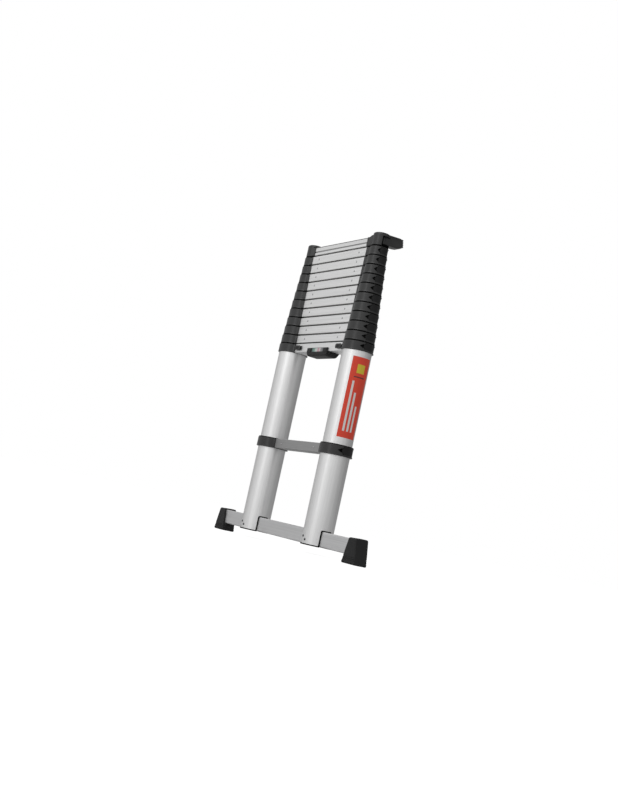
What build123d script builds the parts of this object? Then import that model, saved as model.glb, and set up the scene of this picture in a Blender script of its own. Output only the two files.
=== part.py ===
from build123d import *
from math import cos, radians, tan
import os

os.makedirs("parts", exist_ok=True)

# Telescopic ladder with a stabiliser bar, closed. Sizes are in millimetres.
# X runs along the treads, +Y points to the wall it leans on, +Z runs up the stiles.
# Section 0 is the base; sections 1 to section_count slide out of it one after another.

# Stiles
section_count = 11
rung_spacing = 300.0          # between two neighbouring treads, pulled out
stile_spacing = 366.4         # between the axes of the two stiles
base_tube_od = 86.0
tube_wall = 1.2
tube_gap = 0.75               # between the walls of two nested tubes
moving_tube_length = 350.0
bush_height = 8.0
slide_clearance = 0.3
fit_clearance = 0.1
cut_margin = 1.0              # how far a cut starts outside the face that it enters
small_edge = 1.0              # chamfer on buttons and bolts

# Collars and treads
collar_wall = 3.6
collar_height = 27.8
stack_gap = 0.58              # between two closed collars
collar_lip = 3.0              # rim over the end of the tube
collar_edge = 1.2
tread_depth = 42.4
tread_height = 27.0
tread_wall = 1.6
tread_corner = 1.8
tread_inner_corner = 0.9
groove_depth = 0.6
groove_width = 3.0
groove_count = 5
lowest_socket_reach = 46.5    # from the stile's axis to the end of the lowest tread
socket_reach_step = 1.35
lowest_plug_length = 12.0
plug_length = 50.0
lowest_tread_z = 582.4        # underside of the lowest collar

# Mid rung
mid_rung_z = 282.4
mid_rung_height = 28.5
mid_collar_radius = 49.0
mid_socket_reach = 51.7

# Rivets and screws
rivet_inset = 48.0            # from the tube's surface
rivet_radius = 1.5
rivet_head_radius = 2.3
rivet_head_height = 0.8
rivet_length = 4.0
rivet_hole_depth = 6.0
screw_radius = 2.0
screw_head_radius = 3.4
screw_head_height = 1.8
screw_length = 11.0
screw_hole_depth = 12.0
screw_places = ((-6.0, 21.5), (5.0, 12.5))  # across the stile, above the underside of the bar

# Lock bolts and release buttons
bolt_radius = 4.0
bolt_length = 46.0
button_travel = 8.0
button_inner_x = 102.0
button_length = 29.0
button_height = 12.0
button_corner = 3.0
button_thickness = 4.0
stem_width = 13.0
stem_height = 10.0
stem_inset = 6.0              # from the button's inner end
spring_wire_radius = 0.6
spring_radius = 3.0
spring_length = 22.0
spring_turns = 7
seat_thickness = 6.0

# Stabiliser bar, its plugs in the stiles, and the feet
bar_depth = 28.0
bar_height = 43.0
bar_wall = 2.0
bar_corner = 3.0
bar_half_length = 392.0
bar_clearance = 23.5          # under the bar
plug_rim = 1.6
plug_rim_proud = 0.8
plug_rise = 14.0
plug_hollow_radius = 30.0
foot_inner_top = 360.0
foot_inner_bottom = 352.5
foot_outer_top = 399.0
foot_outer_bottom = 415.0
foot_depth_top = 37.0
foot_depth_bottom = 39.5
foot_height = 68.5
foot_corner = 4.0
sole_groove_pitch = 6.0
sole_groove_width = 2.4
sole_groove_depth = 2.2
sole_groove_count = 6

# Carry handle under the lowest tread
handle_length = 116.0
handle_drop = 12.0
handle_wall = 3.0
handle_lip_height = 8.0
handle_bottom_depth = 30.0

# Top caps, wall arms and pads
cap_height = 37.5
cap_roof = 6.0
cap_edge = 4.0
cap_socket_reach = 38.0
arm_width = 30.0
arm_top_drop = 0.5            # below the top of the cap
arm_bottom_rise = 3.5         # above the underside of the cap
rear_reach = 70.0             # from the stile's axis to the lowest pad corner
pad_height = 24.0
pad_base = 3.0
pad_tooth_depth = 2.0
pad_tooth_count = 4
tooth_flank = 0.25            # share of the pitch that a tooth's slope takes
pad_bottom_rise = 17.0
lean_angle = 15.0             # between the stiles and the wall

# Worked out from the sizes above
axis_x = stile_spacing / 2
tube_step = tube_wall + tube_gap
tread_pitch = collar_height + stack_gap
travel = rung_spacing - tread_pitch
bar_top = bar_clearance + bar_height
stile_y = (mid_collar_radius - rear_reach) / 2
bar_edge = bar_depth / 2 + plug_rim
tread_front = -tread_depth / 2
inner_depth = tread_depth - 2 * tread_wall
button_x = button_inner_x + button_length / 2
stem_x = button_inner_x + stem_inset + stem_width / 2
lean_slope = tan(radians(lean_angle))
sides = (("left", -1), ("right", 1))


def level_plane(z):
    """Plane at height z, centred between the stiles."""
    return Plane(origin=(0, stile_y, z))


def front_plane(y):
    """Plane facing the front, y behind the stiles' axes."""
    return Plane(origin=(0, stile_y + y, 0), x_dir=(1, 0, 0), z_dir=(0, -1, 0))


def side_plane(x):
    """Plane facing +X, with the stiles' depth and height as its axes."""
    return Plane(origin=(x, stile_y, 0), x_dir=(0, 1, 0), z_dir=(1, 0, 0))


def tube_radius(k):
    return base_tube_od / 2 - k * tube_step


def collar_radius(k):
    return tube_radius(k) + collar_wall


def level(k):
    """Underside of the collars of section k."""
    return lowest_tread_z + k * tread_pitch


def bolt_level(k):
    return level(k) + collar_height / 2


def tube_top(k):
    return level(k) + collar_height - collar_lip


def socket_reach(k):
    return lowest_socket_reach - k * socket_reach_step


def rivet_x(k):
    return axis_x - tube_radius(k) - rivet_inset


def finish(part, name):
    part.label = name
    export_step(part, f"parts/{name}.step")


def tread_profile(height):
    """Hollow extrusion with rounded edges and shallow grooves on top."""
    RectangleRounded(tread_depth, height, tread_corner)
    inner = height - 2 * tread_wall
    RectangleRounded(inner_depth, inner, tread_inner_corner, mode=Mode.SUBTRACT)
    pitch = inner_depth / groove_count
    with Locations((0, (height - groove_depth) / 2)):
        with GridLocations(pitch, 0, groove_count, 1):
            Rectangle(groove_width, groove_depth, mode=Mode.SUBTRACT)


def tread_solid(half_length, bottom, height):
    """Adds a tread of the shared profile to the part in hand."""
    with BuildSketch(side_plane(-half_length)) as profile:
        with Locations((0, bottom + height / 2)):
            tread_profile(height)
    extrude(profile.sketch, amount=2 * half_length)


def rivet_holes(x, z):
    with BuildSketch(front_plane(tread_front - cut_margin)) as profile:
        with Locations((-x, z), (x, z)):
            Circle(rivet_radius + fit_clearance)
    extrude(profile.sketch, amount=-(rivet_hole_depth + cut_margin), mode=Mode.SUBTRACT)


def rivet_solids(x, z):
    """Two rivets: a flat head on the face and a shank through the wall."""
    with BuildSketch(front_plane(tread_front)) as profile:
        with Locations((-x, z), (x, z)):
            Circle(rivet_head_radius)
    extrude(profile.sketch, amount=rivet_head_height)
    with BuildSketch(front_plane(tread_front)) as profile:
        with Locations((-x, z), (x, z)):
            Circle(rivet_radius)
    extrude(profile.sketch, amount=-rivet_length)


def ring_pair(radius, bottom, height):
    """Two plain discs around the stiles' axes, with softened rims."""
    with BuildSketch(level_plane(bottom)) as profile:
        with Locations((-axis_x, 0), (axis_x, 0)):
            Circle(radius)
    extrude(profile.sketch, amount=height)
    chamfer(edges().filter_by(GeomType.CIRCLE), collar_edge)


def socket_pair(reach, bottom, height):
    """Blocks from the stiles' axes to the ends of a tread."""
    for sign in (-1, 1):
        with BuildSketch(side_plane(sign * (axis_x - reach))) as profile:
            with Locations((0, bottom + height / 2)):
                RectangleRounded(tread_depth + 2 * collar_edge, height, tread_corner)
        extrude(profile.sketch, amount=sign * reach)


def plug_pair(reach, bottom, height, length, rung_height):
    """Plugs that fill the ends of a tread."""
    inner_height = rung_height - 2 * tread_wall
    for sign in (-1, 1):
        with BuildSketch(side_plane(sign * (axis_x - reach))) as profile:
            with Locations((0, bottom + height / 2 - groove_depth)):
                RectangleRounded(inner_depth - 2 * fit_clearance,
                                 inner_height - 2 * groove_depth - 2 * fit_clearance, tread_inner_corner)
        extrude(profile.sketch, amount=-sign * length)


def bore_pair(radius, bottom, height):
    with BuildSketch(level_plane(bottom)) as profile:
        with Locations((-axis_x, 0), (axis_x, 0)):
            Circle(radius)
    extrude(profile.sketch, amount=height, mode=Mode.SUBTRACT)


def cross_holes(radius, z, start_x, end_x):
    """Holes along X, inboard of both stiles, from start_x out to end_x."""
    for sign in (-1, 1):
        with BuildSketch(side_plane(sign * start_x)) as profile:
            with Locations((0, z)):
                Circle(radius)
        extrude(profile.sketch, amount=sign * (end_x - start_x), mode=Mode.SUBTRACT)


# Base tubes: each straddles the stabiliser bar at its foot
base_top = tube_top(0)
for name, sign in sides:
    with BuildPart() as stile:
        with BuildSketch(level_plane(bar_clearance)):
            with Locations((sign * axis_x, 0)):
                Circle(tube_radius(0))
                Circle(tube_radius(0) - tube_wall, mode=Mode.SUBTRACT)
        extrude(amount=base_top - bar_clearance)
        with BuildSketch(level_plane(bar_clearance)):
            with Locations((sign * axis_x, 0)):
                Rectangle(2 * base_tube_od, 2 * bar_edge)
        extrude(amount=bar_height + plug_rim, mode=Mode.SUBTRACT)
        with BuildSketch(side_plane(sign * axis_x)):
            with Locations((0, bolt_level(0))):
                Circle(bolt_radius + slide_clearance)
        extrude(amount=-sign * base_tube_od / 2, mode=Mode.SUBTRACT)
        with BuildSketch(front_plane(-base_tube_od / 2 - cut_margin)):
            for place_x, place_z in screw_places:
                with Locations((sign * axis_x + place_x, bar_clearance + place_z)):
                    Circle(screw_radius + fit_clearance)
        extrude(amount=-base_tube_od / 4, mode=Mode.SUBTRACT)
    finish(stile.part, f"stile_{name}")

# Plugs in the feet of the stiles: they hold the bar and line the cut edge of the tube
plug_radius = tube_radius(0) - tube_wall - fit_clearance
with BuildPart() as stile_plugs:
    for sign in (-1, 1):
        with BuildSketch(level_plane(bar_clearance)):
            with Locations((sign * axis_x, 0)):
                Circle(plug_radius)
        extrude(amount=bar_height + plug_rise)
        with BuildSketch(level_plane(bar_clearance - plug_rim)):
            with Locations((sign * axis_x, 0)):
                Circle(tube_radius(0) + plug_rim_proud)
        extrude(amount=plug_rim)
        with BuildSketch(level_plane(bar_clearance)):
            with Locations((sign * axis_x, 0)):
                Circle(tube_radius(0) + plug_rim_proud)
                Rectangle(2 * base_tube_od, 2 * bar_edge, mode=Mode.INTERSECT)
        extrude(amount=bar_height + plug_rim)
        with BuildSketch(level_plane(bar_top + plug_rim)):
            with Locations((sign * axis_x, 0)):
                Circle(plug_hollow_radius)
        extrude(amount=plug_rise, mode=Mode.SUBTRACT)
        with BuildSketch(level_plane(bar_clearance - plug_rim)):
            with Locations((sign * axis_x, 0)):
                Rectangle(2 * base_tube_od, bar_depth + 2 * fit_clearance)
        extrude(amount=bar_height + plug_rim + fit_clearance, mode=Mode.SUBTRACT)
    with BuildSketch(front_plane(-base_tube_od / 2 - cut_margin)):
        for place_x, place_z in screw_places:
            with Locations((-axis_x + place_x, bar_clearance + place_z),
                           (axis_x + place_x, bar_clearance + place_z)):
                Circle(screw_radius)
    extrude(amount=-(screw_hole_depth + cut_margin), mode=Mode.SUBTRACT)
finish(stile_plugs.part, "stile_plugs")

with BuildPart() as plug_screws:
    for place_x, place_z in screw_places:
        with BuildSketch(front_plane(-base_tube_od / 2)):
            with Locations((-axis_x + place_x, bar_clearance + place_z),
                           (axis_x + place_x, bar_clearance + place_z)):
                Circle(screw_head_radius)
        extrude(amount=screw_head_height)
        with BuildSketch(front_plane(-base_tube_od / 2)):
            with Locations((-axis_x + place_x, bar_clearance + place_z),
                           (axis_x + place_x, bar_clearance + place_z)):
                Circle(screw_radius)
        extrude(amount=-screw_length)
finish(plug_screws.part, "plug_screws")

# Stabiliser bar
with BuildPart() as stabiliser_bar:
    with BuildSketch(side_plane(-bar_half_length)):
        with Locations((0, bar_clearance + bar_height / 2)):
            RectangleRounded(bar_depth, bar_height, bar_corner)
            RectangleRounded(bar_depth - 2 * bar_wall, bar_height - 2 * bar_wall,
                             bar_corner - bar_wall, mode=Mode.SUBTRACT)
    extrude(amount=2 * bar_half_length)
finish(stabiliser_bar.part, "stabiliser_bar")

# Feet: flared blocks moulded over the ends of the bar
for name, sign in sides:
    with BuildPart() as foot:
        with BuildSketch(level_plane(0)):
            with Locations((sign * (foot_inner_bottom + foot_outer_bottom) / 2, 0)):
                RectangleRounded(foot_outer_bottom - foot_inner_bottom, foot_depth_bottom, foot_corner)
        with BuildSketch(level_plane(foot_height)):
            with Locations((sign * (foot_inner_top + foot_outer_top) / 2, 0)):
                RectangleRounded(foot_outer_top - foot_inner_top, foot_depth_top, foot_corner)
        loft()
        with BuildSketch(side_plane(0)):
            with Locations((0, bar_clearance + bar_height / 2)):
                RectangleRounded(bar_depth + 2 * fit_clearance, bar_height + 2 * fit_clearance, bar_corner)
        extrude(amount=sign * (bar_half_length + fit_clearance), mode=Mode.SUBTRACT)
        with BuildSketch(side_plane(0)):
            with GridLocations(sole_groove_pitch, 0, sole_groove_count, 1):
                Rectangle(sole_groove_width, 2 * sole_groove_depth)
        extrude(amount=sign * (foot_outer_bottom + cut_margin), mode=Mode.SUBTRACT)
    finish(foot.part, f"foot_{name}")

# Mid rung and its collars on the base tubes
mid_collar_height = mid_rung_height + 2 * collar_edge
mid_collar_z = mid_rung_z - collar_edge
mid_rivet_x = axis_x - tube_radius(0) - rivet_inset + tube_step
with BuildPart() as mid_rung:
    tread_solid(axis_x - mid_socket_reach, mid_rung_z, mid_rung_height)
    rivet_holes(mid_rivet_x, mid_rung_z + mid_rung_height / 2)
finish(mid_rung.part, "mid_rung")

with BuildPart() as mid_collars:
    ring_pair(mid_collar_radius, mid_collar_z, mid_collar_height)
    socket_pair(mid_socket_reach, mid_collar_z, mid_collar_height)
    plug_pair(mid_socket_reach, mid_collar_z, mid_collar_height, plug_length, mid_rung_height)
    bore_pair(tube_radius(0) + fit_clearance, mid_collar_z, mid_collar_height)
    rivet_holes(mid_rivet_x, mid_rung_z + mid_rung_height / 2)
finish(mid_collars.part, "mid_collars")

with BuildPart() as mid_rivets:
    rivet_solids(mid_rivet_x, mid_rung_z + mid_rung_height / 2)
finish(mid_rivets.part, "mid_rivets")


def tread_bottom(k):
    return level(k) + (collar_height - tread_height) / 2


def collar_pair(k, plug):
    """Collars of section k: clamped on tube k, sliding on tube k + 1."""
    ring_pair(collar_radius(k), level(k), collar_height)
    socket_pair(socket_reach(k), level(k), collar_height)
    plug_pair(socket_reach(k), level(k), collar_height, plug, tread_height)
    bore_pair(tube_radius(k) + fit_clearance, level(k), collar_height - collar_lip)
    bore_pair(tube_radius(k + 1) + slide_clearance, level(k), collar_height)
    cross_holes(bolt_radius + slide_clearance, bolt_level(k),
                axis_x - socket_reach(k) - plug, axis_x - tube_radius(k) / 2)


# Lowest tread: slots in its front wall let the release buttons slide
slot_length = stem_width + button_travel + 2 * slide_clearance
slot_x = stem_x - button_travel / 2
with BuildPart() as lowest_tread:
    tread_solid(axis_x - socket_reach(0), tread_bottom(0), tread_height)
    with BuildSketch(front_plane(tread_front - cut_margin)):
        with Locations((-slot_x, bolt_level(0)), (slot_x, bolt_level(0))):
            Rectangle(slot_length, stem_height + 2 * slide_clearance)
    extrude(amount=-(tread_wall + 2 * cut_margin), mode=Mode.SUBTRACT)
finish(lowest_tread.part, "lowest_tread")

with BuildPart() as lowest_collars:
    collar_pair(0, lowest_plug_length)
finish(lowest_collars.part, "lowest_collars")

# Release buttons, the bolts that they pull, the bolts' springs and the springs' seats
stem_inner_x = stem_x - stem_width / 2
bolt_tip_x = axis_x - tube_radius(1) - slide_clearance
spring_outer_x = stem_inner_x
seat_x = spring_outer_x - spring_length
for name, sign in sides:
    with BuildPart() as release_button:
        with BuildSketch(front_plane(tread_front - slide_clearance)):
            with Locations((sign * button_x, bolt_level(0))):
                RectangleRounded(button_length, button_height, button_corner)
        extrude(amount=button_thickness)
        chamfer(faces().sort_by(Axis.Y)[0].edges(), small_edge)
        with BuildSketch(front_plane(tread_front - slide_clearance)):
            with Locations((sign * stem_x, bolt_level(0))):
                Rectangle(stem_width, stem_height)
        extrude(amount=-(tread_depth / 2 + slide_clearance + stem_height / 2))
        with BuildSketch(side_plane(0)):
            with Locations((0, bolt_level(0))):
                Circle(bolt_radius)
        extrude(amount=sign * axis_x, mode=Mode.SUBTRACT)
    finish(release_button.part, f"release_button_{name}")

    with BuildPart() as lock_bolt:
        with BuildSketch(side_plane(sign * stem_inner_x)):
            with Locations((0, bolt_level(0))):
                Circle(bolt_radius)
        extrude(amount=sign * (bolt_tip_x - stem_inner_x))
        chamfer(faces().sort_by(Axis.X)[-1 if sign > 0 else 0].edges(), small_edge)
    finish(lock_bolt.part, f"lock_bolt_{name}")

    with BuildPart() as bolt_spring:
        coil_height = spring_length - 2 * spring_wire_radius
        coil_start = (sign * (seat_x + spring_wire_radius), stile_y, bolt_level(0))
        with BuildLine() as coil:
            Helix(pitch=coil_height / spring_turns, height=coil_height, radius=spring_radius,
                  center=coil_start, direction=(sign, 0, 0))
        with BuildSketch(Plane(origin=coil.line @ 0, z_dir=coil.line % 0)):
            Circle(spring_wire_radius)
        sweep(path=coil.line, is_frenet=True)
    finish(bolt_spring.part, f"bolt_spring_{name}")

seat_height = tread_height - 2 * tread_wall - 2 * groove_depth - 2 * fit_clearance
with BuildPart() as spring_seats:
    for sign in (-1, 1):
        with BuildSketch(side_plane(sign * seat_x)):
            with Locations((0, bolt_level(0) - groove_depth)):
                RectangleRounded(inner_depth - 2 * fit_clearance, seat_height, tread_inner_corner)
        extrude(amount=-sign * seat_thickness)
finish(spring_seats.part, "spring_seats")

# Carry handle: a shallow moulding clipped under the front of the lowest tread
handle_top = tread_bottom(0) - fit_clearance
handle_front = tread_front - fit_clearance - handle_wall
with BuildPart() as carry_handle:
    with BuildSketch(side_plane(-handle_length / 2)):
        with BuildLine():
            Polyline((handle_front, handle_top + handle_lip_height),
                     (handle_front, handle_top - handle_drop / 2),
                     (handle_front + handle_drop / 2, handle_top - handle_drop),
                     (handle_front + handle_drop / 2 + handle_bottom_depth, handle_top - handle_drop),
                     (-handle_front - handle_wall, handle_top),
                     (tread_front - fit_clearance, handle_top),
                     (tread_front - fit_clearance, handle_top + handle_lip_height),
                     close=True)
        make_face()
    extrude(amount=handle_length)
finish(carry_handle.part, "carry_handle")

# Moving sections: two tubes with guide bushes, two collars, one tread with its rivets and bolts
for k in range(1, section_count + 1):
    outer = tube_radius(k)
    bottom = tube_top(k) - moving_tube_length
    with BuildPart() as tubes:
        with BuildSketch(level_plane(bottom)):
            with Locations((-axis_x, 0), (axis_x, 0)):
                Circle(outer)
                Circle(outer - tube_wall, mode=Mode.SUBTRACT)
        extrude(amount=moving_tube_length)
        lock_level = bolt_level(k - 1) - travel
        for hole_level in (lock_level, bolt_level(k)) if k < section_count else (lock_level,):
            cross_holes(bolt_radius + slide_clearance, hole_level,
                        axis_x - outer - cut_margin, axis_x - outer / 2)
    with BuildPart() as bushes:
        with BuildSketch(level_plane(bottom - bush_height)):
            with Locations((-axis_x, 0), (axis_x, 0)):
                Circle(outer + tube_gap - slide_clearance)
                Circle(outer - tube_wall, mode=Mode.SUBTRACT)
        extrude(amount=bush_height)
    finish(Compound(children=[*tubes.part.solids(), *bushes.part.solids()]), f"section_{k:02d}_tubes")

    if k == section_count:
        continue
    with BuildPart() as collars:
        collar_pair(k, plug_length)
        rivet_holes(rivet_x(k), bolt_level(k))
    finish(collars.part, f"section_{k:02d}_collars")

    with BuildPart() as tread:
        tread_solid(axis_x - socket_reach(k), tread_bottom(k), tread_height)
        rivet_holes(rivet_x(k), bolt_level(k))
    with BuildPart() as tread_rivets:
        rivet_solids(rivet_x(k), bolt_level(k))
    with BuildPart() as tread_bolts:
        for sign in (-1, 1):
            tip_x = axis_x - tube_radius(k + 1) - slide_clearance
            with BuildSketch(side_plane(sign * tip_x)):
                with Locations((0, bolt_level(k))):
                    Circle(bolt_radius)
            extrude(amount=-sign * bolt_length)
    pieces = [*tread.part.solids(), *tread_rivets.part.solids(), *tread_bolts.part.solids()]
    finish(Compound(children=pieces), f"section_{k:02d}_tread")

# Top caps: each closes its stile, takes the end of the top tread and carries a wall arm
cap_bottom = level(section_count)
cap_top = cap_bottom + cap_height
arm_top = cap_top - arm_top_drop
pad_bottom = cap_bottom + pad_bottom_rise
tooth_pitch = pad_height / pad_tooth_count
pad_face = (rear_reach - (pad_base + pad_tooth_depth) / cos(radians(lean_angle))
            + tooth_flank * tooth_pitch * lean_slope)
tooth_shape = ((0, 0), (tooth_flank, pad_tooth_depth), (1 - tooth_flank, pad_tooth_depth))
arm_tip_top = pad_face + (pad_bottom - arm_top) * lean_slope


def pad_outline(rise, thickness):
    """Depth of the pad's surface, a rise above its lower corner."""
    return pad_face - rise * lean_slope + thickness / cos(radians(lean_angle))


for name, sign in sides:
    with BuildPart() as cap:
        with BuildSketch(level_plane(cap_bottom)):
            with Locations((sign * axis_x, 0)):
                Circle(collar_radius(section_count))
        extrude(amount=cap_height)
        fillet(edges().filter_by(GeomType.CIRCLE).sort_by(Axis.Z)[-1], cap_edge)
        with BuildSketch(side_plane(sign * (axis_x - cap_socket_reach))):
            with Locations((0, tread_bottom(section_count) + tread_height / 2)):
                RectangleRounded(tread_depth + 2 * collar_edge, collar_height, tread_corner)
        extrude(amount=sign * cap_socket_reach)
        with BuildSketch(side_plane(sign * (axis_x - cap_socket_reach))):
            with Locations((0, tread_bottom(section_count) + tread_height / 2 - groove_depth)):
                RectangleRounded(inner_depth - 2 * fit_clearance, seat_height, tread_inner_corner)
        extrude(amount=-sign * plug_length)
        with BuildSketch(side_plane(sign * axis_x - arm_width / 2)):
            with BuildLine():
                Polyline((0, cap_bottom + arm_bottom_rise),
                         (0, arm_top),
                         (arm_tip_top, arm_top),
                         (pad_face, pad_bottom),
                         (pad_face - pad_height / 3, pad_bottom - pad_height / 3),
                         (pad_face / 2, cap_bottom + arm_bottom_rise),
                         close=True)
            make_face()
        extrude(amount=arm_width)
        with BuildSketch(level_plane(cap_bottom)):
            with Locations((sign * axis_x, 0)):
                Circle(tube_radius(section_count) + fit_clearance)
        extrude(amount=cap_height - cap_roof, mode=Mode.SUBTRACT)
        rivet_holes(rivet_x(section_count), bolt_level(section_count))
    finish(cap.part, f"top_cap_{name}")

    with BuildPart() as pad:
        with BuildSketch(side_plane(sign * axis_x - arm_width / 2)):
            with BuildLine():
                points = [(pad_face, pad_bottom)]
                for tooth in range(pad_tooth_count):
                    for share, proud in tooth_shape:
                        rise = (tooth + share) * tooth_pitch
                        points.append((pad_outline(rise, pad_base + proud), pad_bottom + rise))
                points.append((pad_outline(pad_height, pad_base), pad_bottom + pad_height))
                points.append((pad_outline(pad_height, 0), pad_bottom + pad_height))
                Polyline(*points, close=True)
            make_face()
        extrude(amount=arm_width)
    finish(pad.part, f"wall_pad_{name}")

# Top tread between the caps, and its rivets
with BuildPart() as top_tread:
    tread_solid(axis_x - cap_socket_reach, tread_bottom(section_count), tread_height)
    rivet_holes(rivet_x(section_count), bolt_level(section_count))
with BuildPart() as top_rivets:
    rivet_solids(rivet_x(section_count), bolt_level(section_count))
pieces = [*top_tread.part.solids(), *top_rivets.part.solids()]
finish(Compound(children=pieces), f"section_{section_count:02d}_tread")
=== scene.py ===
import math
import bpy
import numpy as np
from mathutils import Matrix, Vector


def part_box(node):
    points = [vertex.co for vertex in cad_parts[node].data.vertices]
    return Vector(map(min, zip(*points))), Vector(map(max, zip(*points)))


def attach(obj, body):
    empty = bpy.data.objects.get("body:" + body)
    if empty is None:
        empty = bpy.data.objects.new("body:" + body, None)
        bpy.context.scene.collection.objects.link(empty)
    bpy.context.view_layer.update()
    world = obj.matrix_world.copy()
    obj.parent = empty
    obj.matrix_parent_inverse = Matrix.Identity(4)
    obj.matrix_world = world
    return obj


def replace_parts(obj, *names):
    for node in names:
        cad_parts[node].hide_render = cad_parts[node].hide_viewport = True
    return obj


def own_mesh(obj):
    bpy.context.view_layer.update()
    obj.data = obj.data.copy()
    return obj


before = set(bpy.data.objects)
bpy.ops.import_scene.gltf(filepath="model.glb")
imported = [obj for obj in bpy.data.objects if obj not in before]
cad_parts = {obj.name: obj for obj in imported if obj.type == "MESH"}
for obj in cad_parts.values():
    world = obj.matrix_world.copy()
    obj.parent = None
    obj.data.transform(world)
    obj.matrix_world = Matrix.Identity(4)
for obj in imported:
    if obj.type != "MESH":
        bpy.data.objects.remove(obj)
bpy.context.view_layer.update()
print("ladder: frame loaded,", len(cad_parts), "nodes")

scene = bpy.context.scene
scene.view_settings.view_transform = "Standard"


def nodeBox(node):
    # lowest and highest corner of a node, in millimetres
    low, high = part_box(node)
    return np.array(low) * 1000, np.array(high) * 1000


sectionCount = sum(name.endswith("_tubes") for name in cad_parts)
baseLow, baseHigh = nodeBox("stile_right")
baseRadius = (baseHigh[1] - baseLow[1]) / 2
axisX = (baseHigh[0] + baseLow[0]) / 2
axisY = (baseHigh[1] + baseLow[1]) / 2
barLow, _ = nodeBox("stabiliser_bar")
treadLow, treadHigh = nodeBox("lowest_tread")
treadFront, treadBack = treadLow[1], treadHigh[1]
treadDepth, treadMiddle = treadBack - treadFront, (treadFront + treadBack) / 2
bothSides = (("left", -1), ("right", 1))


def collarNode(level):
    return "lowest_collars" if level == 0 else "section_%02d_collars" % level


def bodyName(level):
    return "base" if level == 0 else "section_%02d" % level


view = dict(azimuth=59.7305, elevation=-6.1555, roll=12.3479, distance=3.26866,
            target=(-0.02643, -0.0105, 0.44344), lens=49.1, sensor=36, shiftY=-0.0019, clip=(0.05, 60))


def placeCamera():
    az, el, roll = (math.radians(view[key]) for key in ("azimuth", "elevation", "roll"))
    back = Vector((math.sin(az) * math.cos(el), -math.cos(az) * math.cos(el), math.sin(el)))
    right = (-back).cross(Vector((0, 0, 1))).normalized()
    up = right.cross(-back)
    turnedRight = right * math.cos(roll) + up * math.sin(roll)
    turnedUp = up * math.cos(roll) - right * math.sin(roll)
    camera = bpy.data.objects.new("camera", bpy.data.cameras.new("camera"))
    camera.data.lens = view["lens"]
    camera.data.sensor_width = view["sensor"]
    camera.data.shift_y = view["shiftY"]
    camera.data.clip_start, camera.data.clip_end = view["clip"]
    spin = Matrix((turnedRight, turnedUp, back)).transposed().to_4x4()
    camera.matrix_world = Matrix.Translation(Vector(view["target"]) + back * view["distance"]) @ spin
    scene.collection.objects.link(camera)
    scene.camera = camera


placeCamera()


def link(tree, source, target):
    tree.links.new(source, target)


def addNode(tree, kind, **values):
    node = tree.nodes.new(kind)
    for key, value in values.items():
        if key in node.bl_rna.properties:
            setattr(node, key, value)
        else:
            node.inputs[key.replace("_", " ")].default_value = value
    return node


def mixColours(tree, share, first, second):
    # colour that goes from first to second with share; each may be a socket or a colour
    node = addNode(tree, "ShaderNodeMix", data_type="RGBA")
    for socket, value in ((node.inputs[0], share), (node.inputs[6], first), (node.inputs[7], second)):
        if isinstance(value, bpy.types.NodeSocket):
            link(tree, value, socket)
        else:
            socket.default_value = value if isinstance(value, float) else (*value, 1.0)
    return node.outputs[2]


def mapRange(tree, source, low, high, toLow, toHigh):
    node = addNode(tree, "ShaderNodeMapRange")
    link(tree, source, node.inputs["Value"])
    for key, value in (("From Min", low), ("From Max", high), ("To Min", toLow), ("To Max", toHigh)):
        node.inputs[key].default_value = value
    return node.outputs["Result"]


def noise(tree, vector, scale, stretch=(1, 1, 1), detail=3.0):
    # noise over the piece's own coordinates, stretched along some axes
    mapping = addNode(tree, "ShaderNodeMapping")
    mapping.inputs["Scale"].default_value = [scale * s for s in stretch]
    link(tree, vector, mapping.inputs["Vector"])
    node = addNode(tree, "ShaderNodeTexNoise")
    node.inputs["Scale"].default_value = 1.0
    node.inputs["Detail"].default_value = detail
    link(tree, mapping.outputs["Vector"], node.inputs["Vector"])
    return node.outputs["Fac"]


def newMaterial(name):
    material = bpy.data.materials.new(name)
    material.use_nodes = True
    tree = material.node_tree
    return material, tree, tree.nodes["Principled BSDF"]


studio = dict(fill=0.40, darkSide=0.25, darkest=-0.75, frontAzimuth=-72.0, frontRise=0.12,
              floorSize=14.0, floorColour=(0.80, 0.80, 0.80), floorRough=0.9, floorGlow=0.88, floorLit=0.36,
              aimHeight=0.45)
lamps = dict(
    strip=dict(azimuth=-76, height=1.0, distance=2.9, size=(0.7, 2.6), power=4),
    upper=dict(azimuth=-80, height=3.1, distance=2.2, size=(2.6, 2.6), power=30),
)


def directRays(tree):
    # 1 for what the camera sees, straight or through something clear, and 0 for all other light
    paths = addNode(tree, "ShaderNodeLightPath")
    seen = addNode(tree, "ShaderNodeMath", operation="MAXIMUM")
    link(tree, paths.outputs["Is Camera Ray"], seen.inputs[0])
    link(tree, paths.outputs["Is Transmission Ray"], seen.inputs[1])
    return paths, seen.outputs[0]


def makeWorld():
    # white to the camera; the rest sees a pale room that is brightest in front of the ladder
    world = bpy.data.worlds.new("paleStudio")
    scene.world = world
    world.use_nodes = True
    tree = world.node_tree
    background = tree.nodes["Background"]
    direction = addNode(tree, "ShaderNodeTexCoord")
    towards = addNode(tree, "ShaderNodeVectorMath", operation="DOT_PRODUCT")
    angle = math.radians(studio["frontAzimuth"])
    towards.inputs[1].default_value = (math.cos(angle), math.sin(angle), studio["frontRise"])
    link(tree, direction.outputs["Generated"], towards.inputs[0])
    tone = mapRange(tree, towards.outputs["Value"], studio["darkest"], 1.0, studio["darkSide"], 1.0)
    paths, seen = directRays(tree)
    room = mixColours(tree, paths.outputs["Is Glossy Ray"], (studio["fill"],) * 3, tone)
    link(tree, mixColours(tree, seen, room, (1.0, 1.0, 1.0)), background.inputs["Color"])


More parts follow.
